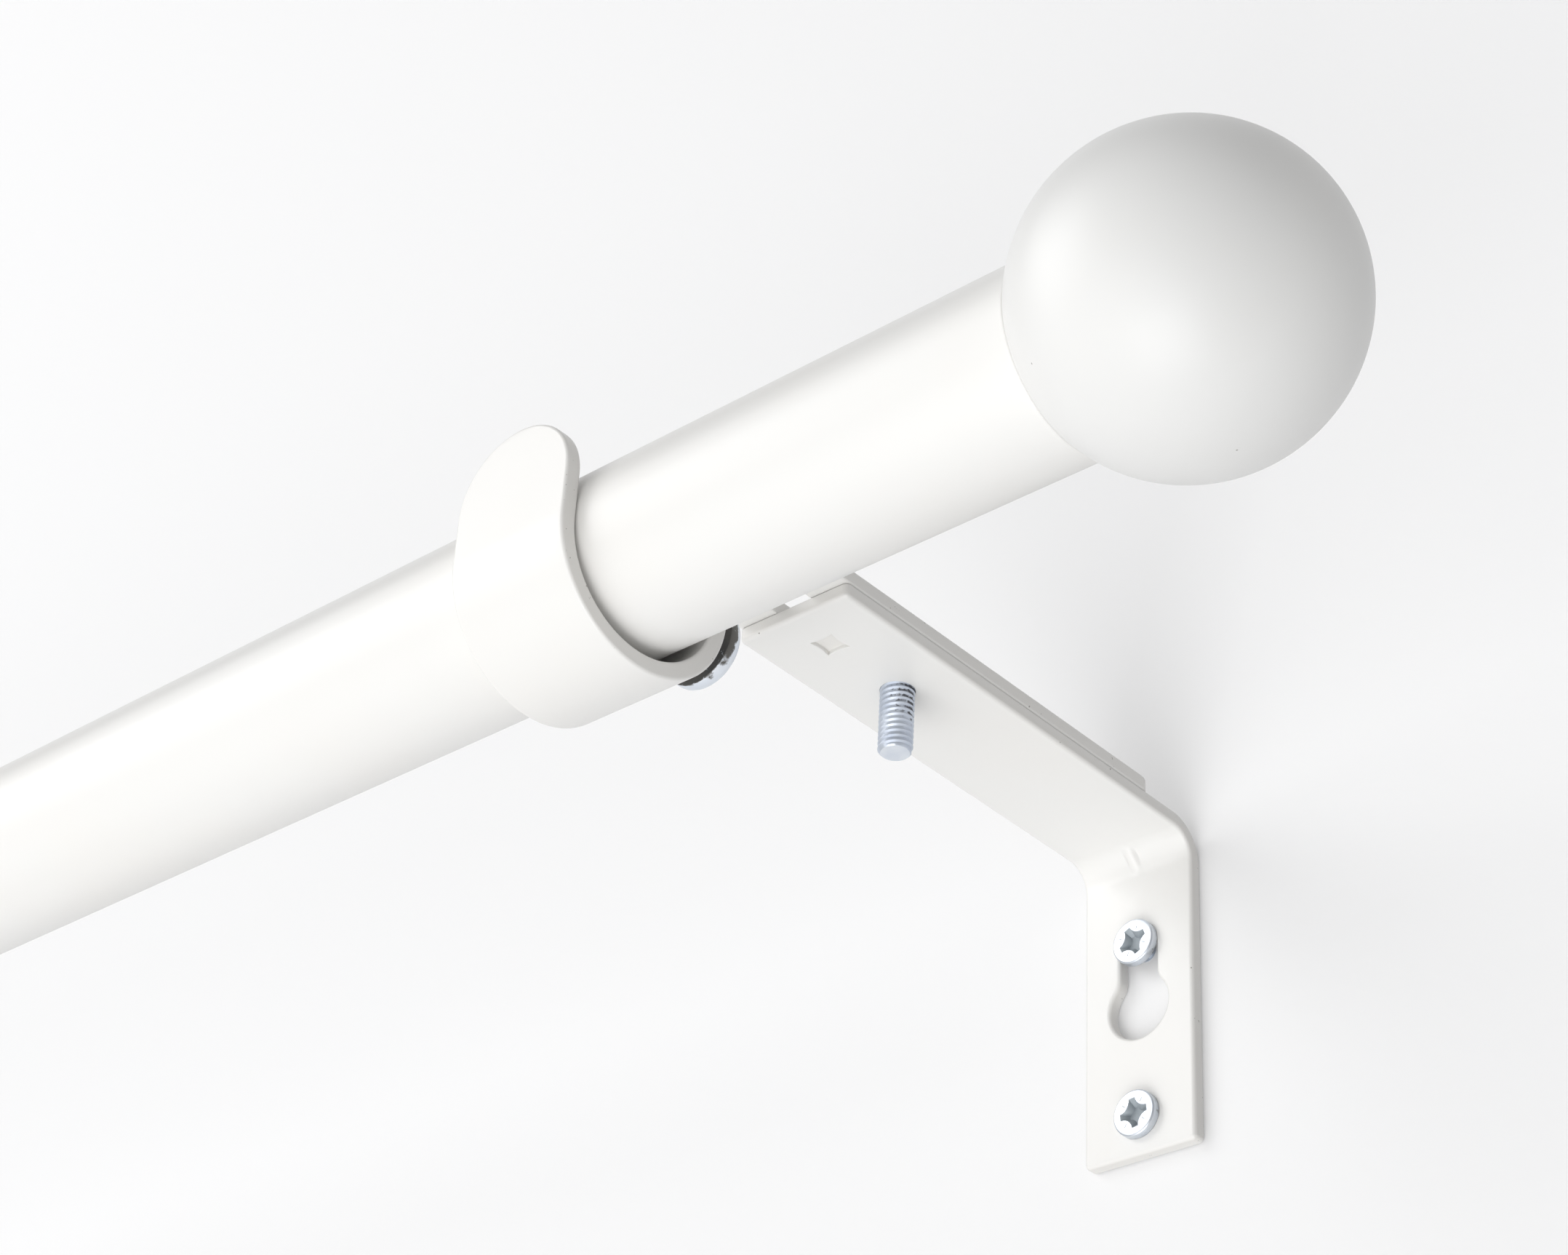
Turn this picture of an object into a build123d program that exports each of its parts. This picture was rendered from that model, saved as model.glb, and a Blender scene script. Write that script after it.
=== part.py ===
from build123d import *
import math
import os

# Extendable curtain rod: two telescoping tubes with ball ends, held by two adjustable wall brackets.
# Millimetres, +Z up, +X along the rod towards the outer tube's ball, +Y into the wall.
# The origin lies on the wall, midway between the two wall screws of the right bracket.

# Tubes
outer_tube_diameter = 20.0
inner_tube_diameter = 17.0
tube_wall = 0.8
outer_tube_length = 520.0
inner_tube_length = 520.0
drawn_out_length = 150.0

# Plastic guides between the tubes
guide_clearance = 0.06
seat_clearance = 0.05
sleeve_length = 22.0
sleeve_lip = 1.2
glide_head_length = 8.0
glide_spigot_length = 14.0
glide_bore = 9.0

# Ball ends
ball_diameter = 33.0
ball_to_bracket = 73.8
plug_length = 18.0
plug_rib_count = 3
plug_rib_width = 1.6
plug_rib_height = 0.35
stud_diameter = 6.0
stud_depth_in_ball = 14.0
stud_depth_in_plug = 13.0
stud_chamfer = 0.6

# Steel strips of the brackets
strip_width = 15.6
bracket_thickness = 1.8
slider_thickness = 2.0
strip_edge_radius = 0.35

# Wall bracket
rod_to_wall = 95.4
rod_above_screws = 11.7
arm_above_rod = 13.5
arm_reach = 65.3
arm_corner_radius = 0.7
plate_below_screw = 4.8
plate_corner_radius = 0.6
bend_radius = 3.2
screw_spacing = 22.3
lower_hole_diameter = 3.8
keyhole_diameter = 8.4
keyhole_slot_width = 5.4
keyhole_shoulder_radius = 2.4
keyhole_drop = 8.1
clamp_to_wall = 47.2
nub_to_wall = 58.9
nub_width = 4.0
nub_height = 1.2
nub_pocket_width = 3.2
nub_pocket_depth = 0.5
nub_waist = 0.25
gusset_radius = 1.0
gusset_rise = 0.35

# Cradle slider
cradle_clearance = 0.2
cradle_drop = 1.1
tongue_gap = 0.1
tongue_height = 12.1
leg_bend_radius = 3.0
slider_end_to_wall = 9.4
slider_corner_radius = 2.0
slot_width = 4.8
slot_end_clearance = 0.7
depth_travel_in = 6.0
depth_travel_out = 30.0

# Machine screws of the brackets
machine_screw_diameter = 4.0
thread_clearance = 0.05
pan_head_diameter = 8.4
pan_head_height = 2.4
pan_head_round = 1.1
clamp_screw_length = 12.0
lock_screw_length = 6.0
lock_above_rod = 0.8
lock_tip_gap = 0.05
screw_tip_chamfer = 0.5

# Wall screws
wall_screw_diameter = 3.0
wall_screw_head_diameter = 5.8
wall_screw_head_height = 1.1
wall_screw_head_round = 0.3
wall_screw_length = 30.0
wall_screw_neck_diameter = 2.4
wall_screw_point = 4.5

# Cross recesses of all screws
recess_span = 3.8
recess_width = 1.1
recess_depth = 0.8

# Rod axis and lengthwise places
outer_tube_radius = outer_tube_diameter / 2
inner_tube_radius = inner_tube_diameter / 2
outer_tube_bore = outer_tube_radius - tube_wall
inner_tube_bore = inner_tube_radius - tube_wall
tube_step = outer_tube_radius - inner_tube_radius
ball_radius = ball_diameter / 2
rod_y = -rod_to_wall
rod_z = rod_above_screws
right_ball_x = ball_to_bracket
outer_seat = math.sqrt(ball_radius**2 - outer_tube_radius**2)
inner_seat = math.sqrt(ball_radius**2 - inner_tube_radius**2)
outer_right_end = right_ball_x - outer_seat
outer_mouth = outer_right_end - outer_tube_length
inner_left_end = outer_mouth - drawn_out_length
inner_right_end = inner_left_end + inner_tube_length
left_ball_x = inner_left_end - inner_seat
left_bracket_x = left_ball_x + ball_to_bracket

# Bracket heights and distances from the wall
half_strip = strip_width / 2
upper_screw_z = screw_spacing / 2
lower_screw_z = -screw_spacing / 2
arm_top = rod_z + arm_above_rod
arm_bottom = arm_top - bracket_thickness
slider_top = arm_top + slider_thickness
plate_bottom = lower_screw_z - plate_below_screw
cradle_inner_radius = outer_tube_radius + cradle_clearance
cradle_outer_radius = cradle_inner_radius + slider_thickness
thread_hole_radius = machine_screw_diameter / 2 + thread_clearance
lock_z = rod_z + lock_above_rod


def along_x(shape, x, y, z):
    return Pos(x, y, z) * Rot(0, 90, 0) * shape


def along_y(shape, x, y, z):
    return Pos(x, y, z) * Rot(-90, 0, 0) * shape


def turned(points):
    # A solid of revolution about Z from (radius, height) corners.
    profile = make_face(Polyline(*points, close=True))
    return revolve(Plane.XZ * profile, Axis.Z)


def bend(centre, radius, start_angle):
    # A quarter turn in the side view, counter-clockwise from its start angle.
    return CenterArc(centre, radius, start_angle, 90)


def rounded_end_cutter(centre, radius, reach):
    # What a full round end removes from a strip, flat in XY and pointing to +Y.
    box = Pos(centre[0], centre[1] + reach / 2) * Rectangle(2 * radius + 2 * reach, reach)
    return box - Pos(*centre) * Circle(radius)


def tube(length, radius, wall):
    return Pos(0, 0, length / 2) * (Cylinder(radius, length) - Cylinder(radius - wall, length))


def guide_sleeve():
    # Lipped sleeve in the outer tube's mouth; its lip lies at negative heights.
    bore = inner_tube_radius + guide_clearance
    shank = outer_tube_bore - seat_clearance
    return turned([
        (bore, -sleeve_lip), (outer_tube_radius, -sleeve_lip), (outer_tube_radius, 0),
        (shank, 0), (shank, sleeve_length), (bore, sleeve_length)])


def inner_glide():
    # Runner on the hidden end of the inner tube; its spigot lies at negative heights.
    head = outer_tube_bore - guide_clearance
    spigot = inner_tube_bore - seat_clearance
    hole = glide_bore / 2
    return turned([
        (hole, -glide_spigot_length), (spigot, -glide_spigot_length), (spigot, 0),
        (head, 0), (head, glide_head_length), (hole, glide_head_length)])


def finial_ball(seat):
    # Ball with a flat seat for the tube's end and a blind hole for the stud; the seat is at height 0.
    ball = Pos(0, 0, seat) * Sphere(ball_radius)
    below = Pos(0, 0, -ball_radius) * Box(ball_diameter, ball_diameter, ball_diameter)
    hole = Pos(0, 0, stud_depth_in_ball / 2) * Cylinder(stud_diameter / 2 + seat_clearance, stud_depth_in_ball)
    return ball - below - hole


def finial_plug(bore):
    # Ribbed plug inside a tube's end, with its mouth at height 0.
    grip = bore - seat_clearance
    core = grip - plug_rib_height
    plug = Pos(0, 0, -plug_length / 2) * Cylinder(core, plug_length)
    rib_step = plug_length / plug_rib_count
    for i in range(plug_rib_count):
        plug += Pos(0, 0, -(i + 0.5) * rib_step) * Cylinder(grip, plug_rib_width)
    hole_radius = stud_diameter / 2 + seat_clearance
    return plug - Pos(0, 0, -stud_depth_in_plug / 2) * Cylinder(hole_radius, stud_depth_in_plug)


def finial_stud():
    length = stud_depth_in_ball + stud_depth_in_plug
    stud = Pos(0, 0, length / 2 - stud_depth_in_plug) * Cylinder(stud_diameter / 2, length)
    return chamfer(stud.edges().filter_by(GeomType.CIRCLE), stud_chamfer)


def cross_recess(top):
    bar = Box(recess_span, recess_width, recess_depth)
    return Pos(0, 0, top - recess_depth / 2) * (bar + Rot(0, 0, 90) * bar)


def machine_screw(length):
    # Pan-head screw standing on its thread's tip: the head's seat is at height 0.
    head = Pos(0, 0, pan_head_height / 2) * Cylinder(pan_head_diameter / 2, pan_head_height)
    head = fillet(head.edges().group_by(Axis.Z)[-1], pan_head_round)
    shank = Pos(0, 0, -length / 2) * Cylinder(machine_screw_diameter / 2, length)
    shank = chamfer(shank.edges().group_by(Axis.Z)[0], screw_tip_chamfer)
    return head + shank - cross_recess(pan_head_height)


def wall_screw():
    # Low cylinder head, plain neck through the plate and pointed thread: the head's seat is at height 0.
    head = Pos(0, 0, wall_screw_head_height / 2) * Cylinder(wall_screw_head_diameter / 2, wall_screw_head_height)
    head = fillet(head.edges().group_by(Axis.Z)[-1], wall_screw_head_round)
    thread = wall_screw_diameter / 2
    neck = wall_screw_neck_diameter / 2
    shoulder = wall_screw_point - wall_screw_length
    wall = -bracket_thickness
    shank = turned([(0, -wall_screw_length), (thread, shoulder), (thread, wall), (neck, wall), (neck, 0), (0, 0)])
    return head + shank - cross_recess(wall_screw_head_height)


def keyhole():
    # Round hole with soft shoulders up to a narrower slot, whose top seats on the upper screw.
    seat_radius = keyhole_slot_width / 2
    seat_z = upper_screw_z - (seat_radius - wall_screw_diameter / 2 - seat_clearance)
    round_z = upper_screw_z - keyhole_drop
    slot_length = seat_z - round_z
    slot = Pos(0, round_z + slot_length / 2) * Rectangle(keyhole_slot_width, slot_length)
    shape = slot + Pos(0, round_z) * Circle(keyhole_diameter / 2) + Pos(0, seat_z) * Circle(seat_radius)
    shoulders = shape.vertices().filter_by(lambda corner: round_z < corner.Y < seat_z - seat_clearance)
    shape = fillet(shoulders, keyhole_shoulder_radius)
    return extrude(Plane.XZ * shape, bracket_thickness, both=True)


def nub_shape(width):
    # Square with hollowed sides, as a square punch leaves it.
    half = width / 2
    side = ThreePointArc((-half, -half), (0, nub_waist - half), (half, -half))
    sides = [Rot(0, 0, 90 * i) * side for i in range(4)]
    return make_face(Curve() + sides)


def gusset():
    # Small ridge pressed across the inside of the bend, and the dent that it leaves outside.
    outer = bend_radius + bracket_thickness
    length = 2 * math.sqrt(outer**2 - (outer - gusset_rise)**2) + gusset_radius
    bar = Rot(45, 0, 0) * Cylinder(gusset_radius, length)

    def off_bend_centre(distance):
        step = distance * math.sqrt(0.5) - outer
        return Pos(0, step, arm_top + step)

    ridge = off_bend_centre(bend_radius - gusset_rise + gusset_radius) * bar
    dent = off_bend_centre(outer - gusset_rise + gusset_radius) * bar
    skin = bracket_thickness / 2
    inside = Box(2 * gusset_radius, outer, outer, align=(Align.CENTER, Align.MAX, Align.MAX))
    return ridge & Pos(0, -skin, arm_top - skin) * inside, dent


def wall_bracket():
    # One bent strip: wall plate with keyhole and lower hole, arm with guide nub and threaded hole.
    outer = bend_radius + bracket_thickness
    turn = (-outer, arm_top - outer)
    outline = Curve() + [
        Line((-arm_reach, arm_bottom), (-arm_reach, arm_top)),
        Line((-arm_reach, arm_top), (-outer, arm_top)),
        bend(turn, outer, 0),
        Line((0, turn[1]), (0, plate_bottom)),
        Line((0, plate_bottom), (-bracket_thickness, plate_bottom)),
        Line((-bracket_thickness, plate_bottom), (-bracket_thickness, turn[1])),
        bend(turn, bend_radius, 0),
        Line((-outer, arm_bottom), (-arm_reach, arm_bottom))]
    strip = extrude(Plane.YZ * make_face(outline), half_strip, both=True)
    strip = fillet(strip.edges().filter_by(Axis.Z).group_by(Axis.Y)[0], arm_corner_radius)
    strip = fillet(strip.edges().filter_by(Axis.Y).group_by(Axis.Z)[0], plate_corner_radius)
    strip = fillet(strip.faces().sort_by(Axis.X)[0].edges() + strip.faces().sort_by(Axis.X)[-1].edges(),
                   strip_edge_radius)
    ridge, dent = gusset()
    strip = strip + ridge - dent - keyhole()
    hole = Cylinder(lower_hole_diameter / 2, 4 * bracket_thickness)
    strip -= along_y(hole, 0, 0, lower_screw_z)
    strip -= Pos(0, -clamp_to_wall, arm_top) * Cylinder(thread_hole_radius, 4 * bracket_thickness)
    nub_place = Pos(0, -nub_to_wall, 0)
    strip -= nub_place * Pos(0, 0, arm_bottom) * extrude(nub_shape(nub_pocket_width), nub_pocket_depth)
    strip += nub_place * Pos(0, 0, arm_top) * extrude(nub_shape(nub_width), nub_height)
    return strip


def slider_outline(centre_y, centre_z):
    # Side view of the strip: tongue, round cradle, rear leg, bend and flat slider.
    inner = cradle_inner_radius
    outer = cradle_outer_radius
    tip = rod_z + tongue_height
    rear = -slider_end_to_wall
    turn = (centre_y + outer + leg_bend_radius, arm_top - leg_bend_radius)
    return Curve() + [
        Line((centre_y - inner, tip), (centre_y - outer, tip)),
        Line((centre_y - outer, tip), (centre_y - outer, centre_z)),
        CenterArc((centre_y, centre_z), outer, 180, 180),
        Line((centre_y + outer, centre_z), (centre_y + outer, turn[1])),
        bend(turn, leg_bend_radius, 90),
        Line((turn[0], arm_top), (rear, arm_top)),
        Line((rear, arm_top), (rear, slider_top)),
        Line((rear, slider_top), (turn[0], slider_top)),
        bend(turn, leg_bend_radius + slider_thickness, 90),
        Line((centre_y + inner, turn[1]), (centre_y + inner, centre_z)),
        CenterArc((centre_y, centre_z), inner, 180, 180),
        Line((centre_y - inner, centre_z), (centre_y - inner, tip))]


def cradle_slider():
    # One bent strip: full-round tongue, cradle for the rod, leg with threaded hole, slotted slider.
    centre_y = rod_y - outer_tube_radius - tongue_gap + cradle_inner_radius
    centre_z = rod_z - cradle_drop
    strip = extrude(Plane.YZ * make_face(slider_outline(centre_y, centre_z)), half_strip, both=True)
    strip = fillet(strip.edges().filter_by(Axis.Z).group_by(Axis.Y)[-1], slider_corner_radius)
    tip_round = rounded_end_cutter((0, rod_z + tongue_height - half_strip), half_strip, strip_width)
    strip -= Pos(0, centre_y, 0) * extrude(Plane.XZ * tip_round, 2 * cradle_outer_radius)
    strip = fillet(strip.faces().sort_by(Axis.X)[0].edges() + strip.faces().sort_by(Axis.X)[-1].edges(),
                   strip_edge_radius)
    slot_rear = -clamp_to_wall + machine_screw_diameter / 2 + depth_travel_out + slot_end_clearance
    slot_front = -nub_to_wall - nub_width / 2 - depth_travel_in - tube_step - slot_width / 2
    slot = SlotOverall(slot_rear - slot_front, slot_width, rotation=90)
    slot_place = Pos(0, (slot_rear + slot_front) / 2, arm_top)
    strip -= slot_place * extrude(slot, 2 * slider_thickness, both=True)
    hole = Pos(0, 0, cradle_outer_radius) * Cylinder(thread_hole_radius, cradle_outer_radius)
    strip -= along_y(hole, 0, centre_y, lock_z)
    return strip


def save(name, shape):
    export_step(shape, os.path.join("parts", name + ".step"))


os.makedirs("parts", exist_ok=True)

# The outer tube with its sleeve, and the inner tube with its glide
save("outer_tube", along_x(tube(outer_tube_length, outer_tube_radius, tube_wall), outer_mouth, rod_y, rod_z))
save("guide_sleeve", along_x(guide_sleeve(), outer_mouth, rod_y, rod_z))
save("inner_tube", along_x(tube(inner_tube_length, inner_tube_radius, tube_wall), inner_left_end, rod_y, rod_z))
save("inner_glide", along_x(inner_glide(), inner_right_end, rod_y, rod_z))

# Ball, plug and stud at each end
ends = [("right", outer_right_end, 0, outer_seat, outer_tube_bore),
        ("left", inner_left_end, 180, inner_seat, inner_tube_bore)]
for side, end_x, turn, seat, bore in ends:
    place = Pos(end_x, rod_y, rod_z) * Rot(0, 0, turn) * Rot(0, 90, 0)
    save(side + "_finial_ball", place * finial_ball(seat))
    save(side + "_finial_plug", place * finial_plug(bore))
    save(side + "_finial_stud", place * finial_stud())

# A bracket under each tube; each slider is pushed back until its tongue meets its own tube
brackets = [("right", 0, outer_tube_radius), ("left", left_bracket_x, inner_tube_radius)]
for side, x, tube_radius in brackets:
    place = Pos(x, 0, 0)
    push_back = outer_tube_radius - tube_radius
    save(side + "_wall_bracket", place * wall_bracket())
    save(side + "_cradle_slider", place * Pos(0, push_back, 0) * cradle_slider())
    save(side + "_clamp_screw", place * Pos(0, -clamp_to_wall, slider_top) * machine_screw(clamp_screw_length))
    lock_seat_y = rod_y + tube_radius + lock_tip_gap + lock_screw_length
    save(side + "_lock_screw", place * along_y(machine_screw(lock_screw_length), 0, lock_seat_y, lock_z))
    head_seat_y = -bracket_thickness
    facing_room = Rot(180, 0, 0)
    screws = [place * along_y(facing_room * wall_screw(), 0, head_seat_y, z)
              for z in (upper_screw_z, lower_screw_z)]
    save(side + "_wall_screws", Compound(children=screws))
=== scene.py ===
import math

import bmesh
import bpy
from mathutils import Matrix, Vector


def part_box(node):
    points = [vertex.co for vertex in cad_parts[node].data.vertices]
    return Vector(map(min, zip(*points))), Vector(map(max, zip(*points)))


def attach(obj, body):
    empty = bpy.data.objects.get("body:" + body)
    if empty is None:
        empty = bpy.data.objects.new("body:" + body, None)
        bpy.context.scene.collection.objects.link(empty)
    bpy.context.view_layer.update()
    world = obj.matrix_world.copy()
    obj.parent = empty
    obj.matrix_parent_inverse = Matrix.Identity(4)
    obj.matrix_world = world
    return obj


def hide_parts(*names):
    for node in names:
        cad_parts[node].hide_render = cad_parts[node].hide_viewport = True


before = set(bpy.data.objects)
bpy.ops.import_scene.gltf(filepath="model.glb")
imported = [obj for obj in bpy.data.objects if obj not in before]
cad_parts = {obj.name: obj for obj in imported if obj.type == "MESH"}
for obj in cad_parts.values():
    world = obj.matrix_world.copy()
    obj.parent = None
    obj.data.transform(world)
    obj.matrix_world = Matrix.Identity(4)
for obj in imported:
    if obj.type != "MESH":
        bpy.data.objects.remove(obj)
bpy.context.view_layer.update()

mm = 0.001
pointGap = 0.001 * mm  # drawn points closer than this are one
meshGap = 0.002 * mm  # the same in a finished mesh
cutGap = 1e-8  # a point this near to a cut lies on it
print("frame loaded:", len(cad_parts), "nodes")

# The rod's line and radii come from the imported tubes
outerLow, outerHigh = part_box("outer_tube")
innerLow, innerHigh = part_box("inner_tube")
rodY = (outerLow.y + outerHigh.y) / 2
rodZ = (outerLow.z + outerHigh.z) / 2
outerRadius = (outerHigh.z - outerLow.z) / 2
innerRadius = (innerHigh.z - innerLow.z) / 2


# Shader helpers

class Wire:
    # One number in a node tree; the usual signs add Math nodes to it
    def __init__(self, finish, socket):
        self.finish = finish
        self.socket = socket

    def math(self, operation, first, second):
        node = self.finish.add("ShaderNodeMath", {"operation": operation}, {0: first, 1: second})
        return Wire(self.finish, node.outputs[0])

    def __add__(self, other):
        return self.math("ADD", self, other)

    __radd__ = __add__

    def __mul__(self, other):
        return self.math("MULTIPLY", self, other)

    __rmul__ = __mul__

    def __sub__(self, other):
        return self.math("SUBTRACT", self, other)

    def __rsub__(self, other):
        return self.math("SUBTRACT", other, self)

    def __gt__(self, other):
        return self.math("GREATER_THAN", self, other)

    def __lt__(self, other):
        return self.math("LESS_THAN", self, other)


class Finish:
    # A material built up node by node
    def __init__(self, name):
        self.material = bpy.data.materials.new(name)
        self.material.use_nodes = True
        self.tree = self.material.node_tree
        self.tree.nodes.clear()
        self.output = self.tree.nodes.new("ShaderNodeOutputMaterial")
        self.place = self.add("ShaderNodeTexCoord").outputs["Object"]

    def add(self, kind, settings=None, inputs=None):
        node = self.tree.nodes.new(kind)
        for key, value in (settings or {}).items():
            if key == "stops":
                self.setStops(node.color_ramp, value)
            else:
                setattr(node, key, value)
        for key, value in (inputs or {}).items():
            self.feed(node.inputs[key], value)
        return node

    def setStops(self, ramp, stops):
        while len(ramp.elements) < len(stops):
            ramp.elements.new(1.0)
        for element, (position, level) in zip(ramp.elements, stops):
            element.position = position
            element.color = (level, level, level, 1)

    def feed(self, socket, value):
        if isinstance(value, Wire):
            value = value.socket
        if isinstance(value, bpy.types.NodeSocket):
            self.tree.links.new(value, socket)
        else:
            socket.default_value = value

    def stretched(self, scale):
        node = self.add("ShaderNodeMapping", {}, {"Vector": self.place, "Scale": scale})
        return node.outputs[0]

    def noise(self, scale, detail=2.0, place=None):
        node = self.add("ShaderNodeTexNoise", {}, {
            "Vector": place or self.place, "Scale": scale, "Detail": detail, "Roughness": 0.55})
        return Wire(self, node.outputs[0])

    def ramp(self, wire, stops):
        node = self.add("ShaderNodeValToRGB", {"stops": stops}, {"Fac": wire})
        return Wire(self, node.outputs[0])

    def attribute(self, name):
        node = self.add("ShaderNodeAttribute", {"attribute_name": name})
        return Wire(self, node.outputs["Fac"])

    def blend(self, amount, first, second):
        node = self.add("ShaderNodeMix", {"data_type": "RGBA"}, {0: amount, 6: first, 7: second})
        return node.outputs[2]

    def specks(self, reach, rarity):
        # Dust nibs: the middles of a few cells
        cells = self.add("ShaderNodeTexVoronoi", {}, {"Vector": self.place, "Scale": 260.0})
        pick = self.add("ShaderNodeSeparateColor", {}, {"Color": cells.outputs["Color"]})
        return (Wire(self, cells.outputs["Distance"]) < reach) * (Wire(self, pick.outputs[0]) > rarity)

    def bump(self, height, distance, strength, under=None):
        inputs = {"Height": height, "Distance": distance, "Strength": strength}
        if under is not None:
            inputs["Normal"] = under
        return self.add("ShaderNodeBump", {}, inputs).outputs[0]

    def surface(self, **inputs):
        named = {key.replace("_", " "): value for key, value in inputs.items()}
        shader = self.add("ShaderNodeBsdfPrincipled", {}, named)
        self.tree.links.new(shader.outputs[0], self.output.inputs["Surface"])
        return self.material


def rgb(red, green, blue):
    return (red, green, blue, 1)


# Finishes

def satinPaint(name, drawLines):
    # Stoved white paint on steel: orange peel, dust nibs and an uneven tone, chipped on cut edges, which are
    # greyer and warmer from thin paint and from painted shade
    f = Finish(name)
    look = {"white": rgb(0.855, 0.85, 0.832), "warm": rgb(0.85, 0.825, 0.785),
            "cutEdge": rgb(0.76, 0.74, 0.705), "speck": rgb(0.2, 0.18, 0.16), "chip": rgb(0.16, 0.14, 0.12),
            "roughness": 0.32, "coat": 0.25, "coatRoughness": 0.22, "cloudScale": 34, "chipScale": 1700,
            "sheenScale": 120, "peelScale": 750, "peelDepth": 0.03 * mm, "lineScale": (5, 1400, 1400),
            "lineDepth": 0.01 * mm}
    cloud = f.ramp(f.noise(look["cloudScale"], 4), [(0.45, 0), (0.75, 1)])
    edge = f.attribute("cutEdge")
    colour = f.blend(cloud * 0.35, look["white"], look["warm"])
    # Cut edges greyer and warmer: thin paint, and painted shade of the edge faces
    colour = f.blend(edge * 0.55, colour, look["cutEdge"])
    colour = f.blend(f.specks(0.03, 0.95) * 0.7, colour, look["speck"])
    chip = f.ramp(f.noise(look["chipScale"], 3), [(0.71, 0), (0.73, 1)]) * (edge > 0.1) * (edge < 0.8)
    colour = f.blend(chip * 0.75, colour, look["chip"])
    rough = look["roughness"] + f.noise(look["sheenScale"], 3) * 0.08 + edge * 0.08
    normal = f.bump(f.noise(look["peelScale"], 2), look["peelDepth"], 0.25)
    if drawLines:
        lines = f.noise(1.0, 3, f.stretched(look["lineScale"]))
        normal = f.bump(lines, look["lineDepth"], 0.12, normal)
    return f.surface(Base_Color=colour, Roughness=rough, Normal=normal, Coat_Weight=look["coat"],
                     Coat_Roughness=look["coatRoughness"])


def ballLacquer():
    # Sprayed satin lacquer on a turned ball, with a few dust nibs
    f = Finish("ballLacquer")
    look = {"white": rgb(0.80, 0.80, 0.79), "warm": rgb(0.785, 0.775, 0.75), "speck": rgb(0.2, 0.18, 0.16),
            "roughness": 0.36, "coat": 0.15, "coatRoughness": 0.3, "cloudScale": 48, "sheenScale": 160,
            "mistScale": 1300, "mistDepth": 0.02 * mm, "waveScale": 190, "waveDepth": 0.04 * mm}
    cloud = f.ramp(f.noise(look["cloudScale"], 4), [(0.42, 0), (0.72, 1)])
    colour = f.blend(cloud * 0.3, look["white"], look["warm"])
    colour = f.blend(f.specks(0.045, 0.7) * 0.7, colour, look["speck"])
    rough = look["roughness"] + f.noise(look["sheenScale"], 3) * 0.07
    normal = f.bump(f.noise(look["mistScale"], 2), look["mistDepth"], 0.2)
    normal = f.bump(f.noise(look["waveScale"], 2), look["waveDepth"], 0.12, normal)
    return f.surface(Base_Color=colour, Roughness=rough, Normal=normal, Coat_Weight=look["coat"],
                     Coat_Roughness=look["coatRoughness"])


def guidePlastic():
    # Plain moulded nylon of the guides and plugs
    f = Finish("guidePlastic")
    look = {"white": rgb(0.80, 0.80, 0.79), "shade": rgb(0.74, 0.74, 0.72), "roughness": 0.42,
            "flowScale": 90, "grainScale": 2200, "grainDepth": 0.02 * mm, "glow": 0.05, "glowReach": 2 * mm}
    flow = f.ramp(f.noise(look["flowScale"], 3), [(0.4, 0), (0.7, 1)])
    colour = f.blend(flow * 0.4, look["white"], look["shade"])
    grain = f.noise(look["grainScale"], 2)
    rough = look["roughness"] + grain * 0.1
    return f.surface(Base_Color=colour, Roughness=rough, Normal=f.bump(grain, look["grainDepth"], 0.3),
                     Subsurface_Weight=look["glow"], Subsurface_Scale=look["glowReach"])


def zincPlate():
    # Bright bluish zinc, matt on the threads, with painted shade darkening their roots and the heads' seats,
    # and the recess painted grey as shade
    f = Finish("zincPlate")
    look = {"bright": rgb(0.72, 0.76, 0.81), "dull": rgb(0.55, 0.60, 0.69),
            "soil": rgb(0.035, 0.035, 0.042), "seatShade": rgb(0.115, 0.112, 0.105),
            "recess": rgb(0.36, 0.40, 0.43), "roughness": 0.3,
            "cloudScale": 420, "rootShadeScale": 2300, "seatShadeScale": 900, "fleckScale": 1500, "grainScale": 2600,
            "grainDepth": 0.02 * mm}
    cloud = f.ramp(f.noise(look["cloudScale"], 4), [(0.38, 0), (0.66, 1)])
    shank = f.attribute("shank")
    recess = f.attribute("recess")
    # Painted shade: dark in the thread roots near the head and on one side, broken into blotches by noise
    soil = f.noise(look["rootShadeScale"], 3) * 0.8 + f.attribute("soil") * 0.5
    soil = f.ramp(soil, [(0.66, 0), (0.80, 1)])
    # Painted shade: the heads' seats are dark, more so on one side, broken up by noise and bright flecks
    seatShade = f.attribute("seat") * 0.75 + f.noise(look["seatShadeScale"], 4) - 0.5
    seatShade = f.ramp(seatShade, [(0.40, 0), (0.52, 1)])
    fleck = f.ramp(f.noise(look["fleckScale"], 2), [(0.64, 0), (0.70, 1)])
    seatShade = seatShade * (1 - fleck * 0.6)
    colour = f.blend(cloud * 0.4 + shank * 0.6, look["bright"], look["dull"])
    colour = f.blend(soil * 0.9, colour, look["soil"])
    colour = f.blend(seatShade, colour, look["seatShade"])
    # Painted shade: the cross recess is drawn grey, rougher and less metallic
    colour = f.blend(recess, colour, look["recess"])
    rough = look["roughness"] + cloud * 0.12 + shank * 0.16 + recess * 0.2
    metal = 1 - soil * 0.6 - seatShade * 0.5 - recess * 0.7 - shank * 0.25
    normal = f.bump(f.noise(look["grainScale"], 3), look["grainDepth"], 0.35)
    return f.surface(Base_Color=colour, Roughness=rough, Metallic=metal, Normal=normal)


paintOnStrip = satinPaint("paintOnStrip", False)
paintOnTube = satinPaint("paintOnTube", True)
lacquer = ballLacquer()
plastic = guidePlastic()
zinc = zincPlate()
print("finishes made")


# Mesh helpers

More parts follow.
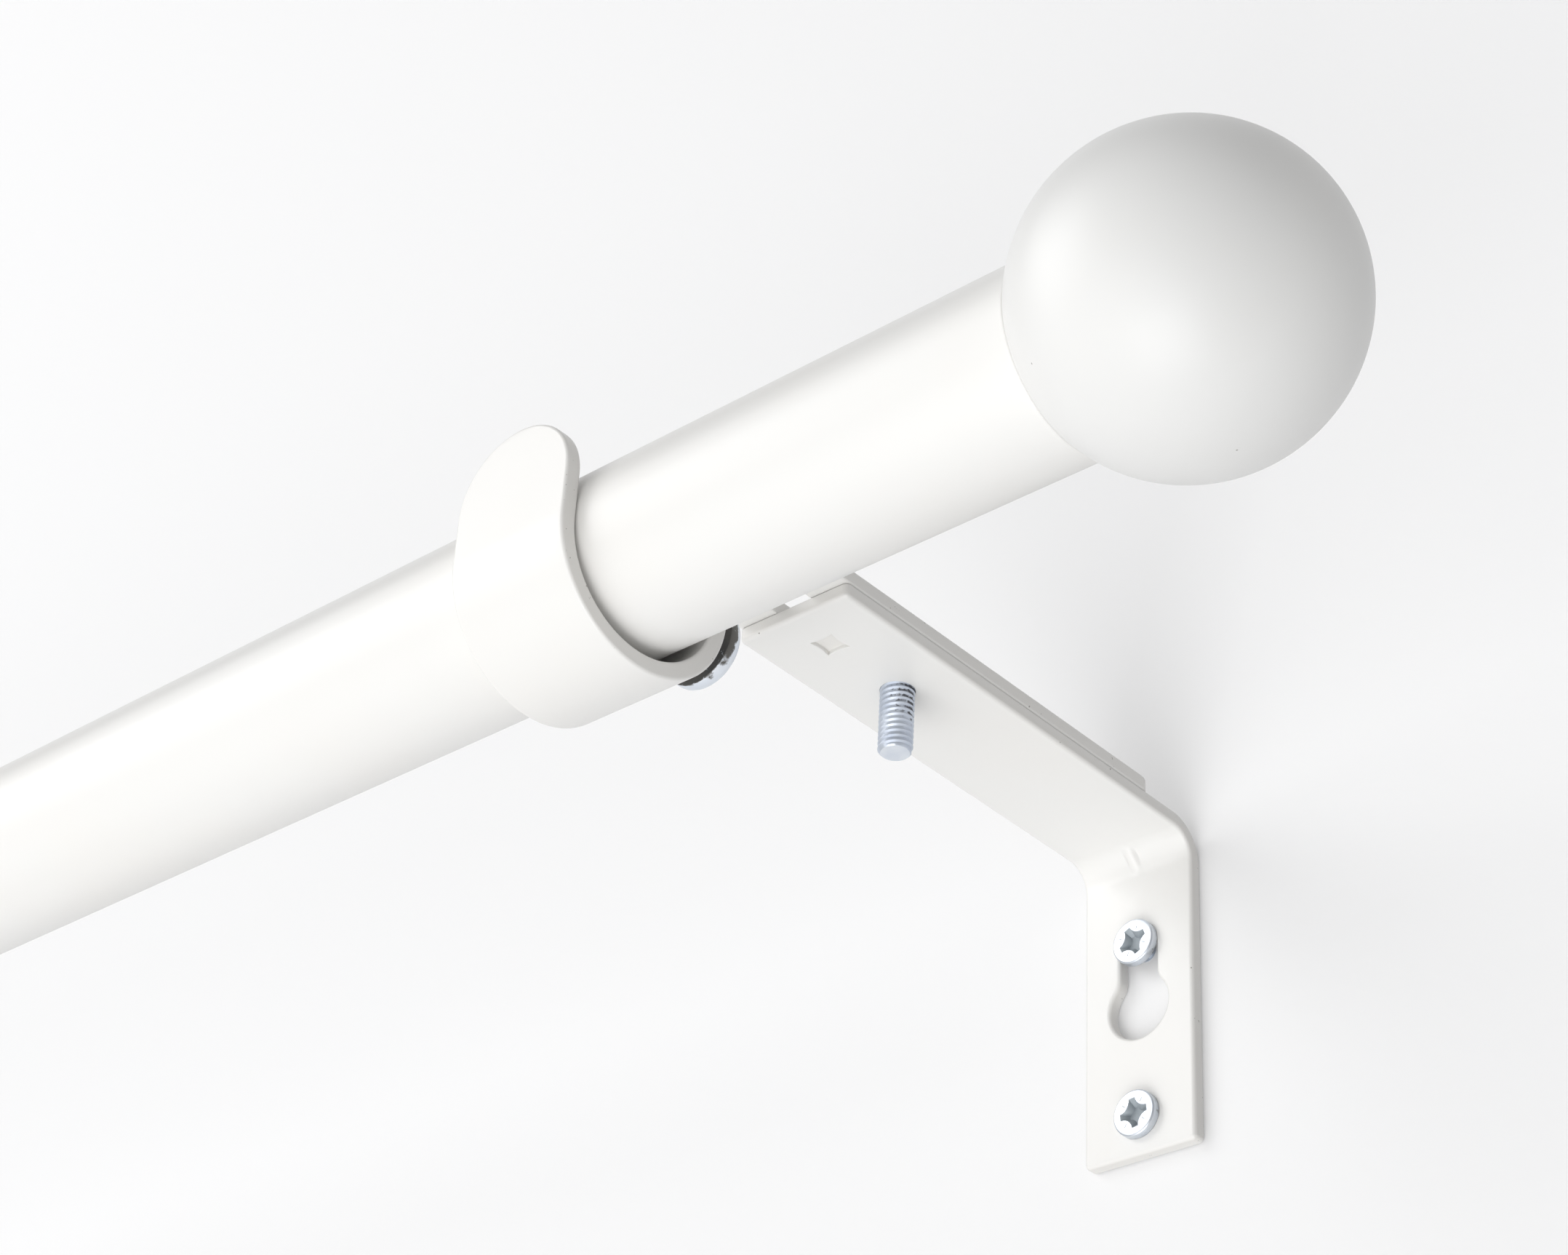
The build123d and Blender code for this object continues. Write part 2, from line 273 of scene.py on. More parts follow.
def finishPiece(bm, name, body, nodes, material, sharpDegrees=38, weighted=False):
    bmesh.ops.remove_doubles(bm, verts=bm.verts[:], dist=meshGap)
    bmesh.ops.recalc_face_normals(bm, faces=bm.faces[:])
    mesh = bpy.data.meshes.new(name)
    bm.to_mesh(mesh)
    bm.free()
    mesh.materials.append(material)
    mesh.shade_smooth()
    mesh.set_sharp_from_angle(angle=math.radians(sharpDegrees))
    piece = bpy.data.objects.new(name, mesh)
    bpy.context.scene.collection.objects.link(piece)
    if weighted:
        modifier = piece.modifiers.new("evenFaces", "WEIGHTED_NORMAL")
        modifier.keep_sharp = True
    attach(piece, body)
    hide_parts(*nodes)


class Pen:
    # Draws an outline in the flat with straight runs and arcs
    def __init__(self, bm, x, y):
        self.bm = bm
        self.tip = bm.verts.new((x, y, 0))

    def line(self, x, y):
        self.tip = bmesh.ops.extrude_vert_indiv(self.bm, verts=[self.tip])["verts"][0]
        self.tip.co = (x, y, 0)
        return self

    def arc(self, x, y, degrees, stepDegrees=6):
        steps = max(2, round(abs(degrees) / stepDegrees))
        made = bmesh.ops.spin(self.bm, geom=[self.tip], cent=(x, y, 0), axis=(0, 0, 1),
                              angle=math.radians(degrees), steps=steps)
        self.tip = [g for g in made["geom_last"] if isinstance(g, bmesh.types.BMVert)][0]
        return self


def drawCircle(bm, x, y, radius):
    Pen(bm, x + radius, y).arc(x, y, 360, 7.5)


def spunAlongRod(bm, steps):
    # Turns a profile drawn as (along, radius) round the rod's line
    profile = bm.verts[:] + bm.edges[:]
    turn = Matrix(((1, 0, 0), (0, 0, -1), (0, 1, 0)))
    bmesh.ops.rotate(bm, verts=bm.verts[:], cent=(0, 0, 0), matrix=turn)
    bmesh.ops.translate(bm, verts=bm.verts[:], vec=(0, rodY, rodZ))
    bmesh.ops.spin(bm, geom=profile, cent=(0, rodY, rodZ), axis=(1, 0, 0), angle=2 * math.pi,
                   steps=steps, use_merge=True)


# Tubes, guides and balls

def makeTube(name, body, low, high, radius):
    size = {"wall": 0.8 * mm, "rimRound": 0.25 * mm, "steps": 128}
    rim = size["rimRound"]
    bore = radius - size["wall"]
    bm = bmesh.new()
    left = low.x + rim
    right = high.x - rim
    pen = Pen(bm, left, radius).line(right, radius).arc(right, radius - rim, -90, 15)
    pen.line(high.x, bore + rim).arc(right, bore + rim, -90, 15).line(left, bore)
    pen.arc(left, bore + rim, -90, 15).line(low.x, radius - rim).arc(left, radius - rim, -90, 15)
    bmesh.ops.remove_doubles(bm, verts=bm.verts[:], dist=pointGap)
    spunAlongRod(bm, size["steps"])
    finishPiece(bm, name + ".painted", body, [name], paintOnTube)


def makeSleeve():
    # Lipped guide in the outer tube's mouth
    size = {"lipRound": 0.4 * mm, "lip": 1.2 * mm, "clearance": 0.05 * mm, "play": 0.06 * mm,
            "wall": 0.8 * mm, "steps": 96}
    low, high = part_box("guide_sleeve")
    bore = innerRadius + size["play"]
    shank = outerRadius - size["wall"] - size["clearance"]
    step = low.x + size["lip"]
    curve = size["lipRound"]
    bm = bmesh.new()
    pen = Pen(bm, low.x, bore + curve).line(low.x, outerRadius - curve)
    pen.arc(low.x + curve, outerRadius - curve, -90, 15).line(step, outerRadius).line(step, shank)
    pen.line(high.x, shank).line(high.x, bore).line(low.x + curve, bore)
    pen.arc(low.x + curve, bore + curve, -90, 15)
    bmesh.ops.remove_doubles(bm, verts=bm.verts[:], dist=pointGap)
    spunAlongRod(bm, size["steps"])
    finishPiece(bm, "guide_sleeve.moulded", "right_rod", ["guide_sleeve"], plastic)


def makeBall(side, body, facing, tubeRadius):
    # Ball with a flat seat on the tube's end and the stud's hole
    size = {"radius": 16.5 * mm, "hole": 3.05 * mm, "holeDepth": 14 * mm, "steps": 144}
    node = side + "_finial_ball"
    low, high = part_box(node)
    seat = math.sqrt(size["radius"]**2 - tubeRadius**2)
    far = high.x if facing > 0 else low.x
    centre = far - facing * size["radius"]
    flat = centre - facing * seat
    slope = math.atan2(tubeRadius, seat)
    holeEnd = flat + facing * size["holeDepth"]
    bm = bmesh.new()
    pen = Pen(bm, holeEnd, 0).line(holeEnd, size["hole"]).line(flat, size["hole"]).line(flat, tubeRadius)
    pen.arc(centre, 0, -facing * (180 - math.degrees(slope)), 2.5)
    spunAlongRod(bm, size["steps"])
    finishPiece(bm, node + ".lacquered", body, [node], lacquer)


makeTube("outer_tube", "right_rod", outerLow, outerHigh, outerRadius)
makeTube("inner_tube", "left_rod", innerLow, innerHigh, innerRadius)
makeSleeve()
makeBall("right", "right_rod", 1, outerRadius)
makeBall("left", "left_rod", -1, innerRadius)
print("tubes, sleeve and balls made")


# Strips: punched flat, with their rounded edges drawn level by level, then folded like the real blank

def roundLevels(edgeRound, steps=4):
    # How far an outline stands back, and how deep, from a face round into its wall
    turns = [math.pi / 2 * i / steps for i in range(steps + 1)]
    return [(edgeRound * (1 - math.sin(turn)), edgeRound * (1 - math.cos(turn))) for turn in turns]


def wallLevels(thickness, lowerRound, upperRound):
    # A wall right through the strip, from the lower face to the upper one
    upper = [(back, thickness - deep) for back, deep in roundLevels(upperRound)]
    return roundLevels(lowerRound) + upper[::-1]


def dieLevels(depth, rimRound, endRound):
    # A pressed pocket or nub: its wall leaves the face and closes on a flat end
    return roundLevels(rimRound) + [(-deep, depth - back) for back, deep in roundLevels(endRound)]


def drawLevel(bm, draw, back, height):
    before = set(bm.verts)
    draw(bm, back)
    fresh = [v for v in bm.verts if v not in before]
    bmesh.ops.remove_doubles(bm, verts=fresh, dist=pointGap)
    fresh = [v for v in bm.verts if v not in before]
    bmesh.ops.translate(bm, verts=fresh, vec=(0, 0, height))
    return list({edge for v in fresh for edge in v.link_edges})


def stackLevels(bm, draw, levels):
    # Joins an outline's levels into a wall, and gives back its first and last loop
    loops = [drawLevel(bm, draw, back, height) for back, height in levels]
    for first, second in zip(loops, loops[1:]):
        bmesh.ops.bridge_loops(bm, edges=first + second)
    return loops[0], loops[-1]


def fillFlat(bm, edges):
    # Filled a thousandfold larger, because the fill joins points a few hundredths of a millimetre apart
    bmesh.ops.scale(bm, verts=bm.verts[:], vec=(1 / mm, 1 / mm, 1 / mm))
    bmesh.ops.triangle_fill(bm, edges=edges, use_beauty=True)
    bmesh.ops.scale(bm, verts=bm.verts[:], vec=(mm, mm, mm))


def punchBlank(bm, thickness, cuts, pocket=None, nub=None):
    # Each cut is an outline with the rounding of its lower and its upper edge
    lowerRims = []
    upperRims = []
    ends = []
    for draw, lowerRound, upperRound in cuts:
        lower, upper = stackLevels(bm, draw, wallLevels(thickness, lowerRound, upperRound))
        lowerRims += lower
        upperRims += upper
    if pocket:
        draw, levels = pocket
        rim, end = stackLevels(bm, draw, levels)
        lowerRims += rim
        ends.append(end)
    if nub:
        draw, levels = nub
        rim, end = stackLevels(bm, draw, [(back, thickness + height) for back, height in levels])
        upperRims += rim
        ends.append(end)
    for rims in [lowerRims, upperRims] + ends:
        fillFlat(bm, rims)
    bmesh.ops.recalc_face_normals(bm, faces=bm.faces[:])
    edge = bm.verts.layers.float.new("cutEdge")
    edgeBand = 0.45 * mm  # depth at which a cut edge has its full tone
    for vert in bm.verts:
        inside = min(vert.co.z, thickness - vert.co.z)
        vert[edge] = min(max(inside / edgeBand, 0), 1)


def cutAcross(bm, places, axis="Y", faces=None):
    normal = Vector((0, 1, 0)) if axis == "Y" else Vector((1, 0, 0))
    for place in places:
        chosen = faces() if faces else bm.faces[:]
        geom = set(chosen)
        for face in chosen:
            geom.update(face.verts)
            geom.update(face.edges)
        bmesh.ops.bisect_plane(bm, geom=list(geom), dist=cutGap, plane_co=normal * place, plane_no=normal)


class Fold:
    # Side view of a folded strip: straight runs and bends, with the strip's upper face on the left
    def __init__(self, y, z, headingDegrees):
        self.point = Vector((y, z))
        self.heading = math.radians(headingDegrees)
        self.along = 0
        self.runs = []

    def ahead(self):
        return Vector((math.cos(self.heading), math.sin(self.heading)))

    def straight(self, length):
        self.runs.append((self.along, length, 0, self.point.copy(), self.heading))
        self.point = self.point + self.ahead() * length
        self.along += length
        return self

    def bend(self, radius, degrees):
        # Positive bends turn left; the radius is the lower face's
        side = 1 if degrees > 0 else -1
        angle = math.radians(abs(degrees))
        self.runs.append((self.along, radius * angle, side * radius, self.point.copy(), self.heading))
        left = Vector((-math.sin(self.heading), math.cos(self.heading))) * side
        centre = self.point + left * radius
        self.heading += side * angle
        self.point = centre - Vector((-math.sin(self.heading), math.cos(self.heading))) * side * radius
        self.along += radius * angle
        return self

    def stations(self, stepDegrees):
        places = []
        for start, length, radius, point, heading in self.runs:
            if radius:
                steps = max(2, round(math.degrees(length / abs(radius)) / stepDegrees))
                places += [start + length * i / steps for i in range(steps + 1)]
        return places

    def place(self, along, height):
        start, length, radius, point, heading = self.runs[-1]
        for run in self.runs:
            if along <= run[0] + run[1] + cutGap:
                start, length, radius, point, heading = run
                break
        left = Vector((-math.sin(heading), math.cos(heading)))
        if not radius:
            ahead = Vector((math.cos(heading), math.sin(heading)))
            return point + ahead * (along - start) + left * height
        turn = heading + (along - start) / radius
        centre = point + left * radius
        return centre - Vector((-math.sin(turn), math.cos(turn))) * (radius - height)

    def apply(self, bm):
        for vert in bm.verts:
            y, z = self.place(vert.co.y, vert.co.z)
            vert.co = (vert.co.x, y, z)


def drawNub(bm, y, half, sag):
    # Square with hollow sides, as the punch leaves it
    radius = (half * half + sag * sag) / (2 * sag)
    sweep = 2 * math.degrees(math.asin(half / radius))
    pen = Pen(bm, -half, y - half)
    for side in range(4):
        away = half - sag + radius
        centre = Matrix.Rotation(math.radians(90 * side), 2) @ Vector((0, -away))
        pen.arc(centre.x, y + centre.y, -sweep, sweep / 6)


def pressGusset(bm, size, armTop):
    # Small ridge across the inside of the bend, and the dent that it leaves outside
    outer = size["bendRadius"] + size["thickness"]
    centre = Vector((-outer, armTop - outer))
    diagonal = Vector((1, 1)).normalized()
    radius = size["gussetRadius"]
    soft = size["gussetBlend"]
    lower = bm.verts.layers.float["lowerFace"]
    for vert in bm.verts:
        across = vert.co.x
        if abs(across) >= radius:
            continue
        surface = size["bendRadius"] if vert[lower] > 0.5 else outer
        crest = surface - size["gussetRise"] + radius - math.sqrt(radius**2 - across**2)
        lift = (vert.co.yz - centre).dot(diagonal) - crest
        fade = 1 - (across / radius)**4
        push = fade * (lift + math.sqrt(lift**2 + soft**2)) / 2 * diagonal
        vert.co.y -= push.x
        vert.co.z -= push.y


def drawKeyhole(bm, size, screwAlong, back):
    # Round hole, soft shoulders and a slot up to the screw; heights run down the blank
    roundR = size["keyhole"] / 2
    slotR = size["keySlot"] / 2
    curve = size["keyShoulder"]
    middle = screwAlong + size["keyDrop"]
    seat = screwAlong + size["keySeat"]
    offset = slotR + curve
    rise = math.sqrt((roundR + curve)**2 - offset**2)
    lean = math.degrees(math.atan2(rise, offset))
    pen = Pen(bm, slotR + back, seat).line(slotR + back, middle - rise)
    pen.arc(offset, middle - rise, -lean)
    pen.arc(0, middle, 180 + 2 * lean)
    pen.arc(-offset, middle - rise, -lean)
    pen.line(-slotR - back, seat).arc(0, seat, 180)


bracketSize = {"thickness": 1.8 * mm, "bendRadius": 3.2 * mm, "armCorner": 0.7 * mm,
               "plateCorner": 0.6 * mm, "insideRound": 0.5 * mm, "outsideRound": 0.25 * mm,
               "frontShare": 1.3, "keyRound": 0.45 * mm, "holeRound": 0.2 * mm, "tightRound": 0.05 * mm,
               "screwSpacing": 22.3 * mm, "lowerHole": 3.8 * mm, "keyhole": 8.3 * mm, "keySlot": 5.3 * mm,
               "keyShoulder": 2.4 * mm, "keyDrop": 8.1 * mm, "keySeat": 1.15 * mm, "clampHole": 4.04 * mm,
               "clampToWall": 47.2 * mm, "nubToWall": 58.9 * mm, "nubHalf": 2.0 * mm, "nubHeight": 1.2 * mm,
               "nubSag": 0.25 * mm, "nubRound": 0.2 * mm, "pocketHalf": 1.55 * mm, "pocketDepth": 0.5 * mm,
               "pocketRound": 0.1 * mm, "gussetRadius": 1.0 * mm, "gussetRise": 0.52 * mm,
               "gussetBlend": 0.28 * mm, "gussetCuts": 20, "bendStep": 3}


def makeBracket(side, x):
    size = bracketSize
    node = side + "_wall_bracket"
    low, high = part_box(node)
    half = (high.x - low.x) / 2
    armTop = high.z - size["nubHeight"]
    thick = size["thickness"]
    outer = size["bendRadius"] + thick
    armRun = -low.y - outer
    plateRun = armTop - outer - low.z
    fold = Fold(low.y, armTop - thick, 0).straight(armRun).bend(size["bendRadius"], -90).straight(plateRun)
    total = fold.along
    nubAlong = -low.y - size["nubToWall"]
    clampAlong = -low.y - size["clampToWall"]
    screwAlong = total - (size["screwSpacing"] / 2 - low.z)
    lowerAlong = screwAlong + size["screwSpacing"]

    def inBend():
        start = armRun - pointGap
        end = armRun + size["bendRadius"] * math.pi / 2 + pointGap
        return [face for face in bm.faces if start <= face.calc_center_median().y <= end]

    # The blank lies along Y, from the arm's front end to the plate's lower end
    def outline(bm, back):
        armCorner = size["armCorner"]
        plateCorner = size["plateCorner"]
        side = half - back
        front = back * size["frontShare"]
        pen = Pen(bm, side, armCorner).line(side, total - plateCorner)
        pen.arc(half - plateCorner, total - plateCorner, 90, 15).line(plateCorner - half, total - back)
        pen.arc(plateCorner - half, total - plateCorner, 90, 15).line(-side, armCorner)
        for way in (-1, 1):
            for turn in range(0, 91, 15):
                along = math.radians(turn if way < 0 else 90 - turn)
                pen.line(way * (half - armCorner + (armCorner - back) * math.cos(along)),
                         armCorner - (armCorner - front) * math.sin(along))

    cuts = [(outline, size["insideRound"], size["outsideRound"]),
            (lambda bm, back: drawKeyhole(bm, size, screwAlong, back), size["keyRound"], size["holeRound"]),
            (lambda bm, back: drawCircle(bm, 0, lowerAlong, size["lowerHole"] / 2 + back),
             size["holeRound"], size["holeRound"]),
            (lambda bm, back: drawCircle(bm, 0, clampAlong, size["clampHole"] / 2 + back),
             size["tightRound"], size["tightRound"])]
    pocket = (lambda bm, back: drawNub(bm, nubAlong, size["pocketHalf"] + back, size["nubSag"]),
              dieLevels(size["pocketDepth"], size["pocketRound"], size["pocketRound"]))
    nub = (lambda bm, back: drawNub(bm, nubAlong, size["nubHalf"] + back, size["nubSag"]),
           dieLevels(size["nubHeight"], size["nubRound"], size["nubRound"]))
    bm = bmesh.new()
    punchBlank(bm, thick, cuts, pocket, nub)
    lower = bm.verts.layers.float.new("lowerFace")
    for vert in bm.verts:
        vert[lower] = 1 if vert.co.z < thick / 2 else 0
    cutAcross(bm, fold.stations(size["bendStep"]))
    ridge = size["gussetRadius"]
    ridgeCuts = [ridge * (2 * i / size["gussetCuts"] - 1) for i in range(size["gussetCuts"] + 1)]
    cutAcross(bm, ridgeCuts, "X", inBend)
    fold.apply(bm)
    pressGusset(bm, size, armTop)
    bmesh.ops.translate(bm, verts=bm.verts[:], vec=(x, 0, 0))
    finishPiece(bm, node + ".painted", side + "_wall", [node], paintOnStrip, weighted=True)


def makeSlider(side, x):
    size = {"thickness": 2.0 * mm, "edgeRound": 0.35 * mm, "holeRound": 0.2 * mm, "cradleInner": 10.2 * mm,
            "cradleDrop": 1.1 * mm, "tongueHeight": 12.1 * mm, "legBend": 3.0 * mm, "endCorner": 2.0 * mm,
            "slotWidth": 4.8 * mm, "slotFront": 70.8 * mm, "slotRear": 14.5 * mm, "lockHole": 4.04 * mm,
            "lockAbove": 0.8 * mm, "bendStep": 3, "clearance": 0.025 * mm}
    node = side + "_cradle_slider"
    low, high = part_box(node)
    half = (high.x - low.x) / 2
    clearance = size["clearance"]  # its faces slide free of the arm and the screw heads
    thick = size["thickness"] - 2 * clearance
    outer = size["cradleInner"] + clearance + thick
    under = high.z - clearance - thick
    centreY = low.y + outer
    centreZ = rodZ - size["cradleDrop"]
    tip = rodZ + size["tongueHeight"]
    legTop = under - size["legBend"]
    fold = Fold(low.y, tip, -90).straight(tip - centreZ).bend(outer, 180)
    legStart = fold.along
    fold.straight(legTop - centreZ).bend(size["legBend"], -90)
    flatStart = fold.along
    flatY = centreY + outer + size["legBend"]
    fold.straight(high.y - flatY)
    total = fold.along
    push = high.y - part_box("right_cradle_slider")[1].y
    slotR = size["slotWidth"] / 2
    slotOrigin = flatStart + push - flatY
    front = slotOrigin - size["slotFront"] + slotR
    rear = slotOrigin - size["slotRear"] - slotR
    lockAlong = legStart + rodZ + size["lockAbove"] - centreZ

    def outline(bm, back):
        corner = size["endCorner"]
        side = half - back
        pen = Pen(bm, side, half).line(side, total - corner).arc(half - corner, total - corner, 90, 10)
        pen.line(corner - half, total - back).arc(corner - half, total - corner, 90, 10).line(-side, half)
        pen.arc(0, half, 180, 4)

    def slot(bm, back):
        wide = slotR + back
        Pen(bm, wide, front).line(wide, rear).arc(0, rear, 180).line(-wide, front).arc(0, front, 180)

    cuts = [(outline, size["edgeRound"], size["edgeRound"]), (slot, size["holeRound"], size["holeRound"]),
            (lambda bm, back: drawCircle(bm, 0, lockAlong, size["lockHole"] / 2 + back),
             size["holeRound"], size["holeRound"])]
    bm = bmesh.new()
    punchBlank(bm, thick, cuts)
    cutAcross(bm, fold.stations(size["bendStep"]))
    fold.apply(bm)
    bmesh.ops.translate(bm, verts=bm.verts[:], vec=(x, 0, 0))
    finishPiece(bm, node + ".painted", side + "_rod", [node], paintOnStrip, weighted=True)


bracketX = {side: sum(c.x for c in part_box(side + "_wall_bracket")) / 2 for side in ("right", "left")}
for side, x in bracketX.items():
    makeBracket(side, x)
    makeSlider(side, x)
print("brackets and sliders folded")


# Screws: turned heads with a cross recess, and cut threads

def drawCross(bm, span, tip, sag):
    # Four blunt arms with hollow sides between them
    half = span / 2
    arm = tip / 2
    chord = (half - arm) * math.sqrt(2)
    radius = (chord * chord / 4 + sag * sag) / (2 * sag)
    sweep = 2 * math.degrees(math.asin(chord / 2 / radius))
    away = (half + arm) / 2 + (radius - sag) * math.sqrt(0.5)
    pen = Pen(bm, half, -arm)
    for side in range(4):
        spin = Matrix.Rotation(math.radians(90 * side), 2)
        corner = spin @ Vector((half, arm))
        hollow = spin @ Vector((away, away))
        pen.line(corner.x, corner.y).arc(hollow.x, hollow.y, -sweep, sweep / 6)


def drawTick(bm, degrees, near, far, width):
    # Thin stroke cut between two arms of the recess
    spin = Matrix.Rotation(math.radians(degrees), 2)
    spots = [spin @ Vector(p) for p in ((near, -width), (far, -width), (far, width), (near, width))]
    pen = Pen(bm, *spots[0])
    for spot in spots[1:] + spots[:1]:
        pen.line(spot.x, spot.y)


def loopAt(bm, radius):
    near = 0.01 * mm
    return [edge for edge in bm.edges if all(abs(v.co.xy.length - radius) < near for v in edge.verts)]


def vertsOf(edges):
    return {vert for edge in edges for vert in edge.verts}


def drawOut(bm, edges, scale, drop):
    # Draws an edge loop on, narrower or wider and further down
    made = bmesh.ops.extrude_edge_only(bm, edges=edges)["geom"]
    verts = [g for g in made if isinstance(g, bmesh.types.BMVert)]
    bmesh.ops.scale(bm, verts=verts, vec=(scale, scale, 1))
    bmesh.ops.translate(bm, verts=verts, vec=(0, 0, -drop))
    return [g for g in made if isinstance(g, bmesh.types.BMEdge)]


headDetail = {"crownSteps": 6, "tickHalf": 0.04 * mm, "tickDepth": 0.08 * mm, "lipScale": 0.94,
              "lipDepth": 0.05 * mm, "floorScale": 0.6, "seatEdge": 0.1 * mm, "seatDraw": 0.6,
              "seatShadeWay": (0.8, -0.6), "seatShadeSpread": 0.35}


def screwHead(bm, size, recessTurn):
    # Head standing on height 0: short rim, low crown and a tapered cross recess in its face
    radius = size["headDiameter"] / 2
    height = size["headHeight"]
    face = size["faceDiameter"] / 2
    crown = size["crown"]
    drawCircle(bm, 0, 0, face)
    drawCross(bm, size["recessSpan"], size["recessTip"], size["recessSag"])
    bmesh.ops.remove_doubles(bm, verts=bm.verts[:], dist=pointGap)
    rim = loopAt(bm, face)
    cross = [edge for edge in bm.edges if edge not in rim]
    for degrees in (45, 135, 225, 315):
        drawTick(bm, degrees, size["tickFrom"], size["tickTo"], headDetail["tickHalf"])
    bmesh.ops.remove_doubles(bm, verts=bm.verts[:], dist=pointGap)
    ticks = [edge for edge in bm.edges if edge not in rim and edge not in cross]
    fillFlat(bm, bm.edges[:])
    bmesh.ops.translate(bm, verts=bm.verts[:], vec=(0, 0, height))
    recess = bm.verts.layers.float.new("recess")
    seat = bm.verts.layers.float.new("seat")
    bm.verts.layers.float.new("shank")
    bm.verts.layers.float.new("soil")
    steps = headDetail["crownSteps"]
    now = face
    for i in range(steps):
        before = math.pi / 2 * i / steps
        angle = math.pi / 2 * (i + 1) / steps
        then = face + (radius - face) * math.sin(angle)
        rim = drawOut(bm, rim, then / now, crown * (math.cos(before) - math.cos(angle)))
        now = then
    seatEdge = headDetail["seatEdge"]
    seatShadeWay = Vector(headDetail["seatShadeWay"])
    spread = headDetail["seatShadeSpread"]
    # The seat attribute carries painted shade: darkest at the seat edge and stronger on one side
    for least, most in ((0, 0.85), (0.45, 0.5)):  # at the crown's foot, then down by the seat
        if least:
            rim = drawOut(bm, rim, 1, height - crown - seatEdge)
        for vert in vertsOf(rim):
            share = max(0, vert.co.xy.normalized().dot(seatShadeWay) + spread) / (1 + spread)
            vert[seat] = size["seatShadeStrength"] * (least + most * share)
    rim = drawOut(bm, rim, 1 - headDetail["seatDraw"] * seatEdge / radius, seatEdge)
    for vert in vertsOf(rim):
        vert[seat] = 1
    bmesh.ops.edgeloop_fill(bm, edges=rim)
    lip = drawOut(bm, cross, headDetail["lipScale"], headDetail["lipDepth"])
    floor = drawOut(bm, lip, headDetail["floorScale"], size["recessDepth"])
    cut = drawOut(bm, ticks, 1, headDetail["tickDepth"])
    # Marks the recess for its painted shade
    for vert in vertsOf(lip + floor + cut):
        vert[recess] = 1
    fillFlat(bm, floor)
    fillFlat(bm, cut)
    bmesh.ops.rotate(bm, verts=bm.verts[:], cent=(0, 0, 0),
                     matrix=Matrix.Rotation(math.radians(recessTurn), 3, "Z"))


# Profile points: a share of the pitch, then 1 for the crest or 0 for the root
# Painted shade in the roots is full down to one share of the length and gone at the other
threadDetail = {"steps": 40, "profile": ((0, 1), (0.14, 1), (0.42, 0), (0.72, 0)), "rootShadeFull": 0.5,
                "rootShadeEnd": 0.9, "shadedWay": (0.75, 0.66), "leastRootShade": 0.2}


def screwThread(size, top, bottom):
    # One turn of a zigzag profile that climbs one pitch closes into a helix
    radius = size["threadDiameter"] / 2
    pitch = size["pitch"]
    depth = size["threadDepth"]
    steps = threadDetail["steps"]
    bm = bmesh.new()
    count = math.ceil((top - bottom) / pitch) + 3
    start = bottom - 2 * pitch
    pen = None
    for i in range(count):
        for share, level in threadDetail["profile"]:
            spot = (radius - depth * (1 - level), start + (i + share) * pitch)
            pen = pen.line(*spot) if pen else Pen(bm, *spot)
    bmesh.ops.rotate(bm, verts=bm.verts[:], cent=(0, 0, 0), matrix=Matrix.Rotation(math.pi / 2, 3, "X"))
    bmesh.ops.spin(bm, geom=bm.verts[:] + bm.edges[:], cent=(0, 0, 0), axis=(0, 0, 1), angle=2 * math.pi,
                   dvec=(0, 0, pitch / steps), steps=steps)
    bmesh.ops.remove_doubles(bm, verts=bm.verts[:], dist=meshGap)
    shank = bm.verts.layers.float.new("shank")
    soil = bm.verts.layers.float.new("soil")
    shadedWay = Vector(threadDetail["shadedWay"])
    fade = threadDetail["rootShadeEnd"] - threadDetail["rootShadeFull"]
    least = threadDetail["leastRootShade"]
    # Painted shade: darker in the roots, near the head and towards one side
    for vert in bm.verts:
        root = min(max((radius - vert.co.xy.length) / depth, 0), 1)
        up = min(max((threadDetail["rootShadeEnd"] - vert.co.z / bottom) / fade, 0), 1)
        turned = (1 + vert.co.xy.normalized().dot(shadedWay)) / 2
        vert[shank] = 1
        vert[soil] = root * up * (least + (1 - least) * turned)
    for height, keep in ((top, 1), (bottom, -1)):
        geom = bm.verts[:] + bm.edges[:] + bm.faces[:]
        cut = bmesh.ops.bisect_plane(bm, geom=geom, dist=cutGap, plane_co=(0, 0, height),
                                     plane_no=(0, 0, keep), clear_outer=True)["geom_cut"]
        edges = [g for g in cut if isinstance(g, bmesh.types.BMEdge)]
        bmesh.ops.edgenet_fill(bm, edges=edges)
    return bm


def taperTip(bm, bottom, length, tipRadius, radius):
    # Brings the thread in along a cone towards its tip
    for vert in bm.verts:
        rise = vert.co.z - bottom
        limit = tipRadius + (radius - tipRadius) * rise / length
        span = vert.co.xy.length
        if rise < length and span > limit:
            vert.co.x *= limit / span
            vert.co.y *= limit / span
        if rise < pointGap:
            vert[bm.verts.layers.float["shank"]] = 0


def joinInto(bm, other):
    scratch = bpy.data.meshes.new("scratch")
    other.to_mesh(scratch)
    other.free()
    bm.from_mesh(scratch)
    bpy.data.meshes.remove(scratch)


